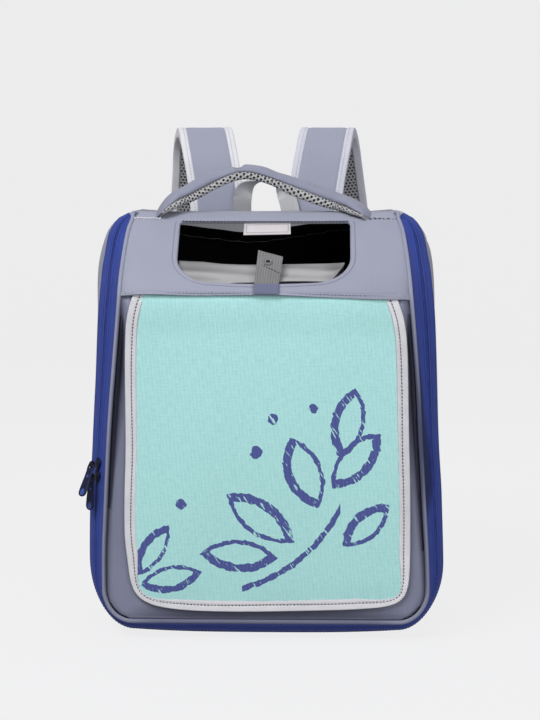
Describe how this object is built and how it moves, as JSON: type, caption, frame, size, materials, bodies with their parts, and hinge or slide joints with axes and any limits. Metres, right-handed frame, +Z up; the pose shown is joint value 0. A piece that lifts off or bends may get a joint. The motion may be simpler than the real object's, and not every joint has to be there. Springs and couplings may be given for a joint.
{
  "type": "pet carrier backpack",
  "caption": "Soft-sided pet carrier backpack with a sloping D-shaped window, a roll-up curtain, a zip band, a padded carry handle and padded shoulder straps.",
  "frame": {"origin": "on the floor, under the middle of the base", "axes": "+Z up, -Y towards the front with the window and curtain, +X to the right as the front is seen"},
  "size_m": [0.3504, 0.3374, 0.4979],
  "materials": {
    "cloth": "plain-woven coated polyester, lavender grey",
    "piping": "cloth-covered piping",
    "blue_tape": "ribbed blue zip tape",
    "zip_coil": "closed nylon coil chain",
    "mint_cloth": "printed mint polyester",
    "binding": "off-white grosgrain binding with a stitch line",
    "lining": "dark mesh lining",
    "satin": "smooth coated grey cloth",
    "grey_webbing": "ribbed grey webbing",
    "pale_webbing": "pale grey webbing",
    "snap_metal": "press stud",
    "patch": "white hook-and-loop tape",
    "air_mesh": "open grey spacer mesh",
    "moulded": "moulded dark navy plastic"
  },
  "bodies": {
    "bag": {"front_panel": "cloth", "window_panel": "cloth", "top_panel": "cloth", "side_panel_left": "cloth", "side_panel_right": "cloth", "bottom_panel": "cloth", "back_panel": "cloth", "front_piping": "piping", "zip_tape_front": "blue_tape", "zip_tape_rear": "blue_tape", "zip_chain": "zip_coil", "curtain": "mint_cloth", "curtain_binding": "binding", "lining_panel": "lining", "window_roll": "satin", "window_tab": "grey_webbing", "tab_snap": "snap_metal", "window_patch": "patch", "handle_cover": "cloth", "handle_mesh": "air_mesh", "haul_loop": "pale_webbing", "strap_cover_left": "cloth", "strap_mesh_left": "air_mesh", "strap_binding_inner_left": "binding", "strap_binding_outer_left": "binding", "strap_webbing_left": "grey_webbing", "strap_adjuster_left": "moulded", "strap_cover_right": "cloth", "strap_mesh_right": "air_mesh", "strap_binding_inner_right": "binding", "strap_binding_outer_right": "binding", "strap_webbing_right": "grey_webbing", "strap_adjuster_right": "moulded", "zip_slider_upper": "moulded", "zip_slider_lower": "moulded"},
    "pull_upper": {"zip_pull_upper": "moulded"},
    "pull_lower": {"zip_pull_lower": "moulded"}
  },
  "joints": [
    {"name": "pull_upper_swing", "type": "hinge", "parent": "bag", "child": "pull_upper", "pos_m": [-0.16504, -0.09937, 0.16751], "axis": [-0.7939, 0.6066, 0.042], "range_deg": [0, 125]},
    {"name": "pull_lower_swing", "type": "hinge", "parent": "bag", "child": "pull_lower", "pos_m": [-0.16567, -0.09937, 0.15557], "axis": [-0.794, 0.6065, 0.0422], "range_deg": [0, 30]}
  ]
}
